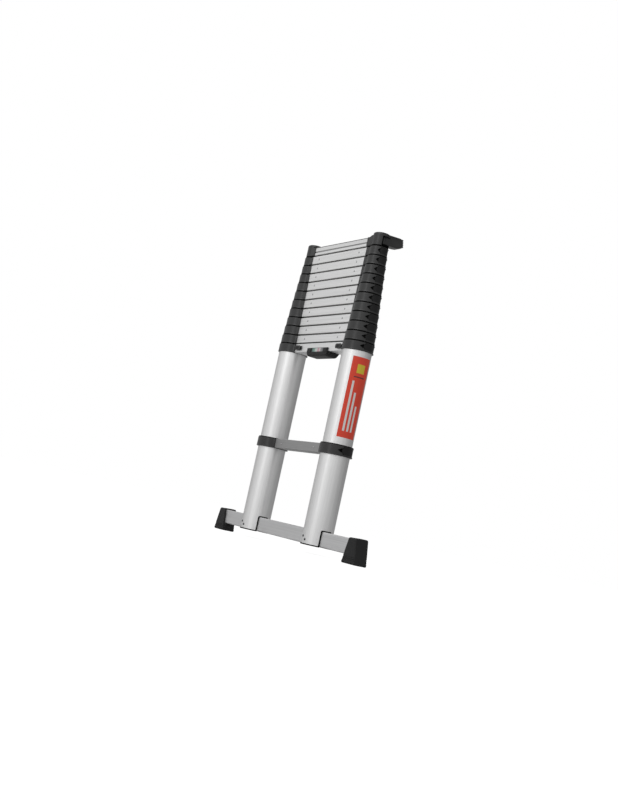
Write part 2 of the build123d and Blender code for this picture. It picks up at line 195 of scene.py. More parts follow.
def makeFloor():
    # a wide square under the ladder: lit as a pale floor, and lifted towards white for the camera only
    size = studio["floorSize"]
    mesh = bpy.data.meshes.new("floor")
    corners = [(-size, -size, 0), (size, -size, 0), (size, size, 0), (-size, size, 0)]
    mesh.from_pydata(corners, [], [(0, 1, 2, 3)])
    floor = bpy.data.objects.new("floor", mesh)
    scene.collection.objects.link(floor)
    material, tree, shader = newMaterial("paleFloor")
    shader.inputs["Base Color"].default_value = (*studio["floorColour"], 1)
    shader.inputs["Roughness"].default_value = studio["floorRough"]
    _, seen = directRays(tree)
    plain = addNode(tree, "ShaderNodeBsdfDiffuse")
    plain.inputs["Color"].default_value = (studio["floorLit"],) * 3 + (1,)
    glow = addNode(tree, "ShaderNodeEmission")
    glow.inputs["Strength"].default_value = studio["floorGlow"]
    lifted = addNode(tree, "ShaderNodeAddShader")
    link(tree, plain.outputs[0], lifted.inputs[0])
    link(tree, glow.outputs[0], lifted.inputs[1])
    chosen = addNode(tree, "ShaderNodeMixShader")
    link(tree, seen, chosen.inputs[0])
    link(tree, shader.outputs[0], chosen.inputs[1])
    link(tree, lifted.outputs[0], chosen.inputs[2])
    link(tree, chosen.outputs[0], tree.nodes["Material Output"].inputs["Surface"])
    mesh.materials.append(material)


def placeLamps():
    aim = Vector((0, axisY / 1000, studio["aimHeight"]))
    for name, look in lamps.items():
        light = bpy.data.lights.new(name, "AREA")
        light.shape = "RECTANGLE"
        light.size, light.size_y = look["size"]
        light.energy = look["power"]
        lamp = bpy.data.objects.new(name, light)
        angle = math.radians(look["azimuth"])
        x, y = math.cos(angle) * look["distance"], math.sin(angle) * look["distance"]
        place = Vector((x, y, look["height"]))
        turned = (aim - place).to_track_quat("-Z", "Y").to_matrix().to_4x4()
        lamp.matrix_world = Matrix.Translation(place) @ turned
        scene.collection.objects.link(lamp)


makeWorld()
makeFloor()
placeLamps()
print("ladder: camera, room and lamps placed")


metalLooks = dict(
    tubeAluminium=dict(colour=(0.80, 0.80, 0.80), rough=0.41, streak=(420, 420, 5), shade=0.05),
    treadAluminium=dict(colour=(0.87, 0.87, 0.87), rough=0.40, streak=(5, 520, 520), shade=0.06),
    barAluminium=dict(colour=(0.66, 0.66, 0.665), rough=0.46, streak=(4, 420, 420), shade=0.07),
    rungAluminium=dict(colour=(0.39, 0.39, 0.39), rough=0.44, streak=(4, 420, 420), shade=0.07),
    zincSteel=dict(colour=(0.52, 0.52, 0.53), rough=0.40, streak=(300, 300, 300), shade=0.10),
    darkSteel=dict(colour=(0.13, 0.13, 0.135), rough=0.42, streak=(300, 300, 300), shade=0.10),
    shadedAluminium=dict(colour=(0.06, 0.06, 0.06), rough=0.55, streak=(5, 420, 420), shade=0.10),
)
mouldedLooks = dict(
    collarPlastic=dict(colour=(0.0085, 0.0085, 0.009), rough=0.28, shade=0.25, shine=0.60, grain=900,
                       depth=0.00005),
    # painted shade: a darker, duller copy of the collar plastic, for the collars' rear recess
    rearShadePlastic=dict(colour=(0.005, 0.005, 0.0053), rough=0.46, shade=0.25, shine=0.34, grain=900,
                     depth=0.00008),
    trimPlastic=dict(colour=(0.012, 0.012, 0.012), rough=0.50, shade=0.2, shine=0.35, grain=1100,
                     depth=0.00006),
    footRubber=dict(colour=(0.013, 0.013, 0.0135), rough=0.62, shade=0.3, shine=0.35, grain=700,
                    depth=0.00016),
    # near-black, almost without gloss: painted shade in pockets, gaps, necks and along top edges, and the
    # dark seam band round the foot plugs
    shadeAndSeamBlack=dict(colour=(0.002, 0.002, 0.002), rough=0.80, shade=0.3, shine=0.06, grain=700,
                       depth=0.00005),
)
glossSpread = dict(streak=0.04, broad=0.03, grain=0.06)


def fromNoise(tree, source, low, high):
    # noise lies between about 0.3 and 0.7; this carries it to low..high
    return mapRange(tree, source, 0.3, 0.7, low, high)


def shades(look):
    # the look's colour a little darker and a little lighter
    return [tuple(min(1.0, c * (1 + side * look["shade"])) for c in look["colour"]) for side in (-1, 1)]


def relief(tree, shader, height, strength, distance):
    node = addNode(tree, "ShaderNodeBump", Strength=strength, Distance=distance)
    link(tree, height, node.inputs["Height"])
    link(tree, node.outputs["Normal"], shader.inputs["Normal"])


def metal(name, look):
    # extruded and brushed metal: fine streaks along the extrusion move its shade, gloss and relief a little
    material, tree, shader = newMaterial(name)
    place = addNode(tree, "ShaderNodeTexCoord").outputs["Object"]
    fine = noise(tree, place, 1.0, look["streak"], 4.0)
    broad = noise(tree, place, 9.0, (1, 1, 1), 2.0)
    link(tree, mixColours(tree, fromNoise(tree, fine, 0.0, 1.0), *shades(look)), shader.inputs["Base Color"])
    spread = addNode(tree, "ShaderNodeMath", operation="ADD")
    streak, wide = glossSpread["streak"], glossSpread["broad"]
    link(tree, fromNoise(tree, fine, -streak, streak), spread.inputs[0])
    link(tree, fromNoise(tree, broad, look["rough"] - wide, look["rough"] + wide), spread.inputs[1])
    link(tree, spread.outputs[0], shader.inputs["Roughness"])
    shader.inputs["Metallic"].default_value = 1.0
    relief(tree, shader, fine, 0.25, 0.00006)
    return material


def moulded(name, look):
    # moulded plastic or rubber: a fine spark-eroded grain, with slow changes of shade and gloss
    material, tree, shader = newMaterial(name)
    place = addNode(tree, "ShaderNodeTexCoord").outputs["Object"]
    grain = noise(tree, place, look["grain"], (1, 1, 1), 3.0)
    broad = noise(tree, place, 14.0, (1, 1, 1), 3.0)
    link(tree, mixColours(tree, fromNoise(tree, broad, 0.0, 1.0), *shades(look)), shader.inputs["Base Color"])
    gloss = fromNoise(tree, grain, look["rough"] - glossSpread["grain"], look["rough"] + glossSpread["grain"])
    link(tree, gloss, shader.inputs["Roughness"])
    shader.inputs["Specular IOR Level"].default_value = look["shine"]
    relief(tree, shader, grain, 0.5, look["depth"])
    return material


finishes = {name: metal(name, look) for name, look in metalLooks.items()}
finishes.update({name: moulded(name, look) for name, look in mouldedLooks.items()})
slotFinish = dict(tube_aluminium="tubeAluminium", bar_aluminium="barAluminium",
                  tread_aluminium="treadAluminium", black_plastic="collarPlastic", black_trim="trimPlastic",
                  black_rubber="footRubber", steel="zincSteel")


def dressFrame():
    # every node of the frame takes the finish of its own slot
    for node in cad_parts.values():
        for entry in node.material_slots:
            entry.material = finishes[slotFinish[entry.material.name.split(".")[0]]]
    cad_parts["mid_rung"].material_slots[0].material = finishes["rungAluminium"]
    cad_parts["plug_screws"].material_slots[0].material = finishes["darkSteel"]


dressFrame()


def joined(x, y, z):
    # points from their coordinates, each a number or an array that broadcasts with the others
    return np.stack(np.broadcast_arrays(x, y, z), axis=-1)


def ringSolid(rings, wrap=False, marks=None, stripEnds=False):
    # rings: rows x columns x 3. Neighbouring rings are joined by quads and the columns close on themselves.
    # With wrap the last ring joins the first; otherwise a flat face closes each end, or with stripEnds a
    # strip of quads between the mirrored halves of the ring, which follows a curved end.
    # marks: rows x columns, which of the piece's other finishes a quad takes, 0 for none.
    rows, columns = rings.shape[:2]
    points = rings.reshape(-1, 3)
    row = np.arange(rows if wrap else rows - 1)[:, None]
    column = np.arange(columns)[None, :]
    nextRow = (row + 1) % rows
    nextColumn = (column + 1) % columns
    quads = np.stack([row * columns + column, row * columns + nextColumn,
                      nextRow * columns + nextColumn, nextRow * columns + column], axis=-1).reshape(-1, 4)
    middle = points - points.mean(axis=0)
    a, b, c, d = (middle[quads[:, i]] for i in range(4))
    volume = np.einsum("ij,ij->", a, np.cross(b, c) + np.cross(c, d))
    face = np.arange(columns)[None, :]
    if stripEnds:
        i = np.arange(columns // 2 - 1)
        face = np.stack([i, i + 1, columns - 2 - i, columns - 1 - i], axis=1)
    ends = [] if wrap else [*face[:, ::-1], *(face + (rows - 1) * columns)]
    if volume < 0:
        quads = quads[:, ::-1]
        ends = [end[::-1] for end in ends]
    marked = np.zeros(len(quads) + len(ends), np.int32)
    if marks is not None:
        marked[:len(quads)] = np.broadcast_to(marks, (rows, columns)).reshape(-1)[:len(quads)]
    return points, quads.tolist() + [end.tolist() for end in ends], marked


def makePiece(name, solids, finish, body, sharpAngle=38, others=()):
    # joins solids, given as points in millimetres, faces and marks, into one piece that rides on a body
    points, faces, start = [], [], 0
    for solidPoints, solidFaces, _ in solids:
        points.append(solidPoints)
        faces += [[start + i for i in face] for face in solidFaces]
        start += len(solidPoints)
    mesh = bpy.data.meshes.new(name)
    mesh.from_pydata((np.concatenate(points) / 1000).tolist(), [], faces)
    mesh.materials.append(finishes[finish])
    for other in others:
        mesh.materials.append(finishes[other])
    mesh.polygons.foreach_set("material_index", np.concatenate([solid[2] for solid in solids]))
    mesh.shade_smooth()
    mesh.set_sharp_from_angle(angle=math.radians(sharpAngle))
    piece = bpy.data.objects.new(name, mesh)
    scene.collection.objects.link(piece)
    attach(piece, body)
    return piece


def smoothStep(value):
    # 0 below 0, 1 above 1, with an eased slope between them
    t = np.clip(value, 0, 1)
    return t * t * (3 - 2 * t)


cornerPoints = 7


def roundedLoop(width, height, radius):
    # corners of a rectangle, each turned into a quarter circle; anticlockwise, 2-D
    turn = np.linspace(0, np.pi / 2, cornerPoints)
    angle = (np.arange(4)[:, None] * np.pi / 2 + turn[None, :]).ravel()
    across = np.repeat(np.array([1, -1, -1, 1]) * (width / 2 - radius), cornerPoints)
    along = np.repeat(np.array([1, 1, -1, -1]) * (height / 2 - radius), cornerPoints)
    return np.stack([across + radius * np.cos(angle), along + radius * np.sin(angle)], axis=1)


def softened(corners, reach, perCorner=cornerPoints):
    # each corner P becomes the curve (1-t)^2 A + 2t(1-t) P + t^2 B, with A and B its reach along both edges
    before = np.roll(corners, 1, axis=0) - corners
    after = np.roll(corners, -1, axis=0) - corners
    lengthBefore, lengthAfter = (np.linalg.norm(edge, axis=1, keepdims=True) for edge in (before, after))
    reach = np.broadcast_to(np.array(reach, float), len(corners))[:, None]
    reach = np.minimum(reach, 0.45 * np.minimum(lengthBefore, lengthAfter))
    start = (corners + reach * before / lengthBefore)[:, None]
    end = (corners + reach * after / lengthAfter)[:, None]
    t = np.linspace(0, 1, perCorner)[None, :, None]
    return ((1 - t) ** 2 * start + 2 * t * (1 - t) * corners[:, None] + t ** 2 * end).reshape(-1, 2)


def insetCorners(corners, distance):
    # moves every edge of an anticlockwise outline inwards: corner + distance (n1 + n2) / (1 + n1.n2)
    edge = np.roll(corners, -1, axis=0) - corners
    after = np.stack([-edge[:, 1], edge[:, 0]], axis=1) / np.linalg.norm(edge, axis=1, keepdims=True)
    before = np.roll(after, 1, axis=0)
    return corners + distance * (before + after) / (1 + np.sum(before * after, axis=1, keepdims=True))


def spun(profile, centre, count=96):
    # carries a closed profile of (radius, height) round a vertical axis
    angle = np.linspace(0, 2 * np.pi, count, endpoint=False)[:, None]
    radius, height = profile[:, 0][None, :], profile[:, 1][None, :]
    x = centre[0] + radius * np.cos(angle)
    y = centre[1] + radius * np.sin(angle)
    return ringSolid(joined(x, y, height), wrap=True)


collarLook = dict(edge=1.4, lipHeight=2.8, lipProud=0.45, recess=1.2, wrapStart=-96.0, gapHeight=2.6,
                  gapDepth=1.6, shoulder=1.2, shoulderRun=1.1, shoulderRound=0.5, notchLow=74.0,
                  notchFall=1.3, pocketLength=12.0, pocketHalf=5.2, pocketDepth=2.6, chevron=9.0,
                  chevronReach=0.42, lineWidth=2.6, rimHeight=3.0, rimChamfer=0.5, tubeGap=1.95,
                  clearance=0.3, reachLow=46.5, reachFall=1.35, midNotch=75.0, midReach=51.7,
                  fineBefore=18, fineAfter=14, fineStep=0.7, coarseStep=3.0, wallRows=23)


def collarRing(sign, radius, bore, rimBore, bottom, height, notch):
    # radius(angle, height) = ring radius - rounded lower edge + lower lip - rear recess - triangular pocket
    # - shadow gap along the top. The angle runs from the front, positive towards the outer side.
    look = collarLook
    fine = np.arange(notch - look["fineBefore"], notch + look["fineAfter"], look["fineStep"])
    coarse = np.arange(-180, 180, look["coarseStep"])
    angle = np.sort(np.concatenate([coarse[(coarse < fine[0]) | (coarse > fine[-1])], fine,
                                    [look["wrapStart"] - 0.8, look["wrapStart"] + 0.8]]))
    edge, gap = look["edge"], look["gapHeight"]
    turn = edge * (1 - np.cos(np.linspace(0, np.pi / 2, 5)))
    rise = np.concatenate([turn, np.linspace(edge, height - gap - look["shoulder"], look["wallRows"])[1:],
                           height - gap + np.array([-0.8, -0.4, -0.1, 0.1]),
                           height - np.array([0.5, 0.2, 0.0])])
    t, h = angle[:, None], rise[None, :]
    near = np.clip(edge - h, 0, edge)
    shape = radius - (edge - np.sqrt(edge ** 2 - near ** 2))
    shape = shape + look["lipProud"] * smoothStep((look["lipHeight"] - h) / 0.8) * smoothStep(h / 0.8)
    shoulder = np.clip((h - height + gap + look["shoulder"]) / look["shoulderRun"], 0, 1)
    shape = shape - look["shoulderRound"] * (1 - np.sqrt(1 - shoulder ** 2))
    shape = shape - (look["gapDepth"] - look["shoulderRound"]) * (h > height - gap) - 0.3 * (h > height - 0.1)
    offCentre = np.abs(h - height / 2)
    wrapEnd = notch + look["chevron"] * smoothStep(offCentre / (height * look["chevronReach"]))
    rear = np.maximum(smoothStep((t - wrapEnd) / 1.2), smoothStep((look["wrapStart"] - t) / 1.2))
    middle = smoothStep((h - 3.6) / 1.4) * smoothStep((height - gap - 1.4 - h) / 0.8)
    shape = shape - look["recess"] * rear * middle
    tip = notch - look["pocketLength"]
    halfHeight = look["pocketHalf"] * (t - tip) / look["pocketLength"]
    inside = smoothStep((halfHeight - offCentre) / 0.7) * smoothStep((notch + 2.5 - t) / 0.8) * (t > tip)
    shape = shape - look["pocketDepth"] * inside
    rim = look["rimChamfer"]
    top = bottom + height
    innerRadius = np.array([rimBore + rim, rimBore, rimBore, bore, bore, bore + rim])
    step = top - look["rimHeight"]
    innerHeight = np.array([top, top - rim, step, step, bottom + rim, bottom])
    full = np.concatenate([shape, np.broadcast_to(innerRadius, (len(angle), 6))], axis=1)
    heights = np.concatenate([bottom + rise, innerHeight])[None, :]
    swing = np.radians(angle)[:, None]
    x = sign * (axisX + full * np.sin(swing))
    y = axisY - full * np.cos(swing)
    line = (middle > 0.3) & (np.abs(t - wrapEnd - look["lineWidth"] / 2) < look["lineWidth"] / 2)
    # painted shade: the pocket, a line along the wrap's end and the gap along the top take the near-black
    # finish; the rear recess takes a darker, duller copy of the plastic
    marks = np.zeros(x.shape, int)
    marks[:, :len(rise)] = 2 * (rear * middle > 0.5)
    marks[:, :len(rise)][(inside > 0.3) | line | (h > height - gap - 0.2)] = 1
    return ringSolid(joined(x, y, heights), wrap=True, marks=marks)


socketLook = dict(corner=2.4, proud=1.2, beadLength=3.2, beadProud=0.55, beadRise=0.15, flare=3.5,
                  flareFrom=30, flareRun=12, steps=12, sidePoints=16, nearest=4.0, neckInset=1.3)


def socketBlock(sign, ringRadius, wallRadius, reach, bottom, height, inset=0.0):
    # a rounded rectangle carried from the wall of the ring to the end of the tread. Its inner end follows
    # the ring, offset(y) = sqrt(wallRadius^2 - y^2); it flares into wide rings and ends in a low bead.
    look = socketLook
    depth = treadDepth + 2 * (look["proud"] - inset)
    loop = roundedLoop(depth, height, look["corner"])
    # more points along the two level sides, which start after the first and the third corner
    second, fourth = cornerPoints, 3 * cornerPoints
    above, below = (np.linspace(loop[i - 1], loop[i], look["sidePoints"])[1:-1] for i in (second, fourth))
    outline = np.concatenate([loop[:second], above, loop[second:fourth], below, loop[fourth:]])
    inner = np.sqrt(np.maximum(wallRadius ** 2 - outline[:, 0] ** 2, look["nearest"] ** 2))
    beadShare = look["beadLength"] / (reach - inner.min())
    share = np.concatenate([np.linspace(0, 1 - beadShare, look["steps"]),
                            1 - beadShare * np.array([0.92, 0.75, 0.3, 0.12, 0.0])])[:, None]
    bead = look["beadProud"] * np.array([0.5, 1, 1, 0.7, -0.2])
    bead = np.concatenate([np.zeros(look["steps"]), bead])[:, None]
    widening = np.clip((ringRadius - look["flareFrom"]) / look["flareRun"], 0, 1)
    flare = look["flare"] * widening * (1 - smoothStep(share)) ** 2
    offset = inner[None, :] + share * (reach - inset - inner[None, :])
    wide = outline[None, :, 0] * (1 + 2 * (flare + bead) / depth)
    tall = outline[None, :, 1] * (1 + 2 * np.minimum(bead, look["beadRise"]) / height)
    rings = joined(sign * (axisX - offset), treadMiddle + wide, bottom + height / 2 + tall)
    # a block that is set in, the neck, takes the near-black finish all over: painted shade
    return ringSolid(rings, marks=np.full(rings.shape[:2], inset > 0), stripEnds=True)


def collarPair(radius, tube, rimBore, low, high, reach, notch):
    # for both stiles: the ring, its socket, and a narrower neck that fills the gap above the socket,
    # near-black as painted shade
    solids = []
    height = high[2] - low[2]
    for sign in (-1, 1):
        solids.append(collarRing(sign, radius, tube + 0.1, rimBore, low[2], height, notch))
        solids.append(socketBlock(sign, radius, tube + 1.8, reach, low[2] + 0.1,
                                  height - 0.1 - collarLook["gapHeight"]))
        solids.append(socketBlock(sign, radius, tube + 1.8, reach, low[2] + 1.0, height - 1.1,
                                  socketLook["neckInset"]))
    return solids


def makeCollars():
    look = collarLook
    others = ("shadeAndSeamBlack", "rearShadePlastic")
    for level in range(sectionCount):
        low, high = nodeBox(collarNode(level))
        tube = baseRadius - level * look["tubeGap"]
        solids = collarPair(high[0] - axisX, tube, tube - look["tubeGap"] + look["clearance"], low, high,
                            look["reachLow"] - look["reachFall"] * level,
                            look["notchLow"] - look["notchFall"] * level)
        piece = makePiece("collars_%02d" % level, solids, "collarPlastic", bodyName(level),
                          others=others)
        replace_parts(piece, collarNode(level))
    low, high = nodeBox("mid_collars")
    solids = collarPair(high[0] - axisX, baseRadius, baseRadius + 0.1, low, high, look["midReach"],
                        look["midNotch"])
    piece = makePiece("collars_mid", solids, "collarPlastic", "base", others=others)
    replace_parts(piece, "mid_collars")


makeCollars()
print("ladder: collars made")


treadLook = dict(corner=2.0, ribHeight=1.0, ribWidth=4.6, ribs=5, rebateHeight=2.6, rebateDepth=4.0,
                 intoSocket=2.0, fluteDepth=1.4, fluteWidth=3.8, flute=10.7, topCorner=2.8, capReach=38.0,
                 sharpAngle=30)


def bump(value, centre, width):
    # 1 inside a band of that width, 0 outside it, with short slopes
    return smoothStep((width / 2 - np.abs(value - centre)) / 0.4 + 0.5)


def arc(centreY, centreZ, radius, start, count=6):
    # a quarter circle from start degrees, anticlockwise
    angle = np.radians(np.linspace(start, start + 90, count))
    return np.stack([centreY + radius * np.cos(angle), centreZ + radius * np.sin(angle)], axis=1)


def treadOutline(low, high, first, last):
    # outline of the extrusion across its length, and marks for its other finishes: rounded corners, low ribs
    # on top, and on the front face a rebate along the upper edge, or on the last tread a flute. The marks are
    # painted shade: the rebate and the upper front corner take the dark aluminium, as does the lower front
    # corner of the first tread, over the gap beneath it; the flute takes the darker rung aluminium
    look = treadLook
    front, back, corner = treadFront, treadBack, look["corner"]
    topCorner = look["topCorner"] if last else 0.8
    depth = 0.0 if last else look["rebateDepth"]
    drop = 0.0 if last else look["rebateHeight"]
    bottom = np.stack([np.linspace(front + corner, back - corner, 6)[1:-1], np.full(4, low)], axis=1)
    acrossTop = np.linspace(back - corner, front + depth + topCorner, 90)[1:-1]
    pitch = (back - front - 2 * corner - depth) / look["ribs"]
    centres = (front + back + depth) / 2 + (np.arange(look["ribs"]) - (look["ribs"] - 1) / 2) * pitch
    rib = bump(acrossTop[:, None], centres[None, :], look["ribWidth"]).max(axis=1)
    top = np.stack([acrossTop, high + look["ribHeight"] * rib], axis=1)
    upper = high - topCorner if last else high - drop - 0.5
    downFront = np.linspace(upper, low + corner, 80)[1:-1]
    flute = bump(downFront, low + look["flute"], look["fluteWidth"]) * last
    face = np.stack([front + look["fluteDepth"] * flute, downFront], axis=1)
    parts = [(bottom, 0), (arc(back - corner, low + corner, corner, -90), 0),
             (arc(back - corner, high - corner, corner, 0), 0), (top, 0),
             (arc(front + depth + topCorner, high - topCorner, topCorner, 90), 1)]
    if not last:
        parts.append((np.array([[front + depth, high - drop + 0.05]]), 1))
        parts.append((arc(front + 0.5, high - drop - 0.5, 0.5, 90, 4), 0))
    parts += [(face, 2 * (flute > 0.2)), (arc(front + corner, low + corner, corner, 180), int(first))]
    marks = np.concatenate([np.broadcast_to(mark, len(points)) for points, mark in parts])
    return np.concatenate([points for points, _ in parts]), marks


def extruded(outline, marks, halfLength):
    # an outline of (y, z) carried along X
    x = np.array([-halfLength, -halfLength / 3, halfLength / 3, halfLength])[:, None]
    return ringSolid(joined(x, outline[:, 0], outline[:, 1]), marks=marks[None, :])


def makeTreads():
    look = treadLook
    for level in range(1, sectionCount + 1):
        low, high = nodeBox("section_%02d_tread" % level)
        last = level == sectionCount
        reach = look["capReach"] if last else collarLook["reachLow"] - collarLook["reachFall"] * level
        outline, marks = treadOutline(low[2], high[2], level == 1, last)
        solid = extruded(outline, marks, axisX - reach + look["intoSocket"])
        piece = makePiece("tread_%02d" % level, [solid], "treadAluminium", bodyName(level),
                          look["sharpAngle"], ("shadedAluminium", "rungAluminium"))
        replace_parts(piece, "section_%02d_tread" % level)


makeTreads()
print("ladder: treads made")


edgingLook = dict(cut=15.6, topCut=68.1, halfWidth=1.7, proud=0.9, into=0.3, step=0.5, smoothing=7)


def plugEdging(sign):
    # a flat band on the stile's surface, along the lower edge and round the openings for the bar. Its path is
    # (arc length, height) in steps, evened by a moving mean so that the corners turn.
    look = edgingLook
    cut = math.degrees(math.acos(look["cut"] / baseRadius))
    low, high = barLow[2], look["topCut"]
    turns = np.array([-180, cut - 180, cut - 180, -cut, -cut, cut, cut, 180 - cut, 180 - cut, 180])
    height = np.array([low, low, high, high, low, low, high, high, low, low])
    run = np.radians(turns) * baseRadius
    length = np.concatenate([[0], np.cumsum(np.abs(np.diff(run)) + np.abs(np.diff(height)))])
    at = np.linspace(0, length[-1], int(length[-1] / look["step"]), endpoint=False)
    path = np.stack([np.interp(at, length, run), np.interp(at, length, height)], axis=1)
    around = np.pi * baseRadius
    ramp = np.stack([-around + 2 * around * at / length[-1], np.zeros(len(at))], axis=1)
    spread = look["smoothing"]
    swing = path - ramp
    shifted = [np.roll(swing, shift, axis=0) for shift in range(-spread, spread + 1)]
    path = ramp + sum(shifted) / len(shifted)
    swing = path - ramp
    along = np.roll(swing, -1, axis=0) - np.roll(swing, 1, axis=0) + 2 * (ramp[1] - ramp[0])
    along /= np.linalg.norm(along, axis=1, keepdims=True)
    square = np.stack([-along[:, 1], along[:, 0]], axis=1)
    half, proud = look["halfWidth"], look["proud"]
    across = np.array([-half, -half, -half + 0.4, half - 0.4, half, half])
    out = np.array([-look["into"], proud - 0.3, proud, proud, proud - 0.3, -look["into"]])
    flat = path[:, None, :] + across[None, :, None] * square[:, None, :]
    angle = flat[..., 0] / baseRadius
    radius = baseRadius + out[None, :]
    x, y = sign * axisX + radius * np.sin(angle), axisY - radius * np.cos(angle)
    return ringSolid(joined(x, y, flat[..., 1]), wrap=True)


def makeEdging():
    makePiece("plug_edging", [plugEdging(-1), plugEdging(1)], "shadeAndSeamBlack", "base")


rivetLook = dict(radius=2.3, ring=2.9, proud=1.0, inset=48.0)
screwLook = dict(radius=3.5, proud=1.9, pit=1.5, pitDepth=1.0, places=((-6.0, 21.5), (5.0, 12.5)))


def frontDome(x, y, z, profile, count=20, markedRows=0):
    # rings of (radius, distance out of the face) round an axis that points to the front
    angle = np.linspace(0, 2 * np.pi, count, endpoint=False)[None, :]
    radius, out = np.array(profile)[:, 0][:, None], np.array(profile)[:, 1][:, None]
    across = x + radius * np.cos(angle)
    rise = z + radius * np.sin(angle)
    marks = np.arange(len(profile))[:, None] < markedRows
    return ringSolid(joined(across, y - out, rise), marks=marks)


def makeRivets():
    look = rivetLook
    turn = np.linspace(0, np.pi / 2, 6)[:-1]
    profile = [(look["ring"], -0.5), (look["ring"], 0.1)]
    profile += [(look["radius"] * math.cos(t), 0.1 + look["proud"] * math.sin(t)) for t in turn]
    profile.append((0.15, 0.1 + look["proud"]))
    midLow, midHigh = nodeBox("mid_rung")
    rows = [("mid", 1, (midLow[2] + midHigh[2]) / 2, "base")]
    for level in range(1, sectionCount):
        low, high = nodeBox("section_%02d_tread" % level)
        rows.append(("%02d" % level, level, (low[2] + high[2]) / 2, bodyName(level)))
    for name, level, height, body in rows:
        x = axisX - baseRadius + collarLook["tubeGap"] * level - look["inset"]
        solids = [frontDome(sign * x, treadFront, height, profile, markedRows=2) for sign in (-1, 1)]
        makePiece("rivets_" + name, solids, "tubeAluminium" if name == "mid" else "zincSteel", body,
                  others=("darkSteel",))


def makeScrews():
    look = screwLook
    turn = np.linspace(0, np.pi / 2 * 0.72, 5)
    profile = [(look["radius"], -1.5)]
    profile += [(look["radius"] * math.cos(t), look["proud"] * math.sin(t)) for t in turn]
    profile += [(look["pit"], look["proud"] * 0.97), (look["pit"] * 0.8, look["proud"] - look["pitDepth"]),
                (0.1, look["proud"] - look["pitDepth"] - 0.1)]
    solids = []
    for sign in (-1, 1):
        for across, rise in look["places"]:
            y = axisY - math.sqrt(baseRadius ** 2 - across ** 2)
            solids.append(frontDome(sign * axisX + across, y, barLow[2] + rise, profile))
    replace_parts(makePiece("foot_screws", solids, "darkSteel", "base"), "plug_screws")


makeEdging()
makeRivets()
makeScrews()
print("ladder: rivets and screws made")


footLook = dict(innerTop=366.5, innerBottom=352.5, outerTop=401.0, outerBottom=415.0, depthTop=41.0,
                growth=1.8, shift=1.4, topRound=4.0, innerRound=1.4, outerRound=4.0, lift=0.8, topRise=1.8,
                soleRound=5.0, solePoints=20, facePoints=84, sections=100, toothPitch=12.4, toothGap=5.4,
                toothDepth=3.8, gaps=4, faceGrooves=(9.0, 13.5, 18.0), faceGrooveWidth=2.0,
                faceGrooveDepth=1.0)


def makeFeet():
    # the side outline (y, z), with fine grooves low on the faces, is carried along X between two leaning
    # ends; it shrinks towards each end, which rounds the rims. The top rises to the rear,
    # z + topRise * share of the height * share of the depth, and the sole's grooves run from front to rear,
    # z = max(z, gap(x))
    look = footLook
    low, high = nodeBox("foot_right")
    centreY, height = (low[1] + high[1]) / 2 + look["shift"], high[2] + look["lift"]
    halfBottom = (high[1] - low[1]) / 2 + look["growth"]
    halfTop = look["depthTop"] / 2
    soleRound = look["soleRound"]
    across = np.linspace(soleRound - halfBottom, halfBottom - soleRound, look["solePoints"])[1:-1]
    sole = np.stack([across, np.zeros(len(across))], axis=1)
    rise = np.concatenate([soleRound * (1 - np.cos(np.linspace(0, np.pi / 2, 9)[:-1])),
                           np.linspace(soleRound, height - look["topRound"], look["facePoints"])])
    half = halfBottom + (halfTop - halfBottom) * rise / height
    half = half - soleRound + np.sqrt(soleRound ** 2 - np.clip(soleRound - rise, 0, soleRound) ** 2)
    for level in look["faceGrooves"]:
        half = half - look["faceGrooveDepth"] * bump(rise, level, look["faceGrooveWidth"])
    turn = np.linspace(0, np.pi / 2, 8)[1:]
    shoulder = np.stack([halfTop - look["topRound"] * (1 - np.cos(turn)),
                         height - look["topRound"] * (1 - np.sin(turn))], axis=1)
    right = np.concatenate([np.stack([half, rise], axis=1), shoulder])
    outline = np.concatenate([sole, right, (right * (-1, 1))[::-1]])
    share = outline[:, 1] / height
    inner = look["innerBottom"] + (look["innerTop"] - look["innerBottom"]) * share
    outer = look["outerBottom"] + (look["outerTop"] - look["outerBottom"]) * share
    slope = look["topRise"] * smoothStep(share) * (outline[:, 0] / halfBottom + 1) / 2
    centres = (np.arange(look["gaps"]) - (look["gaps"] - 1) / 2) * look["toothPitch"]
    between = []
    for along in np.linspace(0, 1, look["sections"]):
        x = inner + look["innerRound"] + along * (outer - inner - look["innerRound"] - look["outerRound"])
        fromGap = np.abs(x[0] - (look["innerBottom"] + look["outerBottom"]) / 2 - centres).min()
        gap = look["toothDepth"] * smoothStep(1.25 - 2 * fromGap / look["toothGap"])
        between.append(joined(x, centreY + outline[:, 0], np.maximum(outline[:, 1], gap) + slope))
    rows = []
    for start, direction, rounding in ((inner, 1, look["innerRound"]), (outer, -1, look["outerRound"])):
        distance = rounding * (1 - np.cos(np.linspace(0, np.pi / 2, 6)))
        inset = rounding - np.sqrt(rounding ** 2 - (rounding - distance) ** 2)
        for step, shrink in list(zip(distance, inset))[::direction]:
            y = centreY + outline[:, 0] * (1 - shrink / halfBottom)
            z = outline[:, 1] + slope - shrink * np.clip(2 * share - 1, 0, 1)
            rows.append(joined(start + direction * step, y, z))
        if direction == 1:
            rows += between
    rings = np.array(rows)
    for name, sign in bothSides:
        piece = makePiece("rubber_foot_" + name, [ringSolid(rings * (sign, 1, 1))], "footRubber", "base")
        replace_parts(piece, "foot_" + name)


makeFeet()
print("ladder: feet made")


